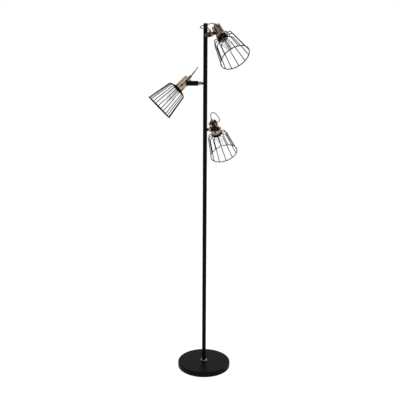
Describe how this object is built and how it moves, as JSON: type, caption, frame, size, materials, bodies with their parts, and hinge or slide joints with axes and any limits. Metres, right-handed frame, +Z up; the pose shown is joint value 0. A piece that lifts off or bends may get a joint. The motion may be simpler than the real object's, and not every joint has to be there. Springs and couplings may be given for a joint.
{
  "type": "floor lamp",
  "caption": "Floor lamp: round weighted base, slim pole and swivelling arms, each carrying a slotted brass lampholder sleeve with an open wire cage shade and a clear bulb.",
  "frame": {"origin": "centre of the base's underside, on the floor", "axes": "+Z up the pole; the lamp as pictured is seen looking along +Y, with +X to the right"},
  "size_m": [0.4342, 0.4387, 1.6],
  "materials": {
    "black_paint": "satin black powder coat",
    "black_wire": "satin black paint on steel wire",
    "cast_iron": "raw casting",
    "pad": "matt",
    "zinc_steel": "zinc plated",
    "antique_brass": "dull antique brass",
    "black_plastic": "moulded",
    "lead_sheath": "smooth flexible sheath",
    "clear_glass": "clear",
    "bulb_metal": "plain"
  },
  "bodies": {
    "stand": {"base_cover": "black_paint", "base_weight": "cast_iron", "base_pad": "pad", "base_nut": "zinc_steel", "base_stud": "zinc_steel", "cord_bush": "black_plastic", "foot_ring": "antique_brass", "pole_lower": "black_paint", "pole_middle": "black_paint", "pole_upper": "black_paint", "pole_inserts": "zinc_steel", "pole_cap": "black_paint", "pole_lead": "lead_sheath", "arm_necks": "black_paint", "lock_nuts": "antique_brass"},
    "top_swivel": {"top_swivel_collar": "antique_brass", "top_arm": "black_paint", "top_arm_gland": "antique_brass", "top_knuckle": "antique_brass"},
    "top_head": {"top_pivot_hub": "black_paint", "top_pivot_bolt": "antique_brass", "top_sleeve": "antique_brass", "top_lampholder": "black_plastic", "top_shade_ring": "black_plastic", "top_cage": "black_wire", "top_bulb_glass": "clear_glass", "top_bulb_core": "bulb_metal", "top_rear_gland": "antique_brass", "top_lead": "lead_sheath"},
    "middle_swivel": {"middle_swivel_collar": "antique_brass", "middle_arm": "black_paint", "middle_arm_gland": "antique_brass", "middle_knuckle": "antique_brass"},
    "middle_head": {"middle_pivot_hub": "black_paint", "middle_pivot_bolt": "antique_brass", "middle_sleeve": "antique_brass", "middle_lampholder": "black_plastic", "middle_shade_ring": "black_plastic", "middle_cage": "black_wire", "middle_bulb_glass": "clear_glass", "middle_bulb_core": "bulb_metal", "middle_rear_gland": "antique_brass", "middle_lead": "lead_sheath"},
    "bottom_swivel": {"bottom_swivel_collar": "antique_brass", "bottom_arm": "black_paint", "bottom_arm_gland": "antique_brass", "bottom_knuckle": "antique_brass"},
    "bottom_head": {"bottom_pivot_hub": "black_paint", "bottom_pivot_bolt": "antique_brass", "bottom_sleeve": "antique_brass", "bottom_lampholder": "black_plastic", "bottom_shade_ring": "black_plastic", "bottom_cage": "black_wire", "bottom_bulb_glass": "clear_glass", "bottom_bulb_core": "bulb_metal", "bottom_rear_gland": "antique_brass", "bottom_lead": "lead_sheath"}
  },
  "joints": [
    {"name": "top_arm_swivel", "type": "hinge", "parent": "stand", "child": "top_swivel", "pos_m": [0.00819, -0.02678, 1.549], "axis": [0.2924, -0.9563, 0], "range_deg": [-183, 147]},
    {"name": "top_head_tilt", "type": "hinge", "parent": "top_swivel", "child": "top_head", "pos_m": [0.02685, -0.08784, 1.549], "axis": [0.9095, 0.2781, 0.309], "range_deg": [-138.4, 41.6], "deforming": ["top_lead"]},
    {"name": "middle_arm_swivel", "type": "hinge", "parent": "stand", "child": "middle_swivel", "pos_m": [-0.02785, -0.00293, 1.345], "axis": [-0.9945, -0.1045, 0], "range_deg": [-163, 167]},
    {"name": "middle_head_tilt", "type": "hinge", "parent": "middle_swivel", "child": "middle_head", "pos_m": [-0.09135, -0.0096, 1.345], "axis": [0.1045, -0.9939, -0.0349], "range_deg": [-134.1, 45.9], "deforming": ["middle_lead"]},
    {"name": "bottom_arm_swivel", "type": "hinge", "parent": "stand", "child": "bottom_swivel", "pos_m": [0.02028, 0.01931, 1.141], "axis": [0.7242, 0.6896, 0], "range_deg": [-173, 157]},
    {"name": "bottom_head_tilt", "type": "hinge", "parent": "bottom_swivel", "child": "bottom_head", "pos_m": [0.06652, 0.06334, 1.141], "axis": [-0.6829, 0.7171, 0.1392], "range_deg": [-147.5, 32.5], "deforming": ["bottom_lead"]}
  ]
}
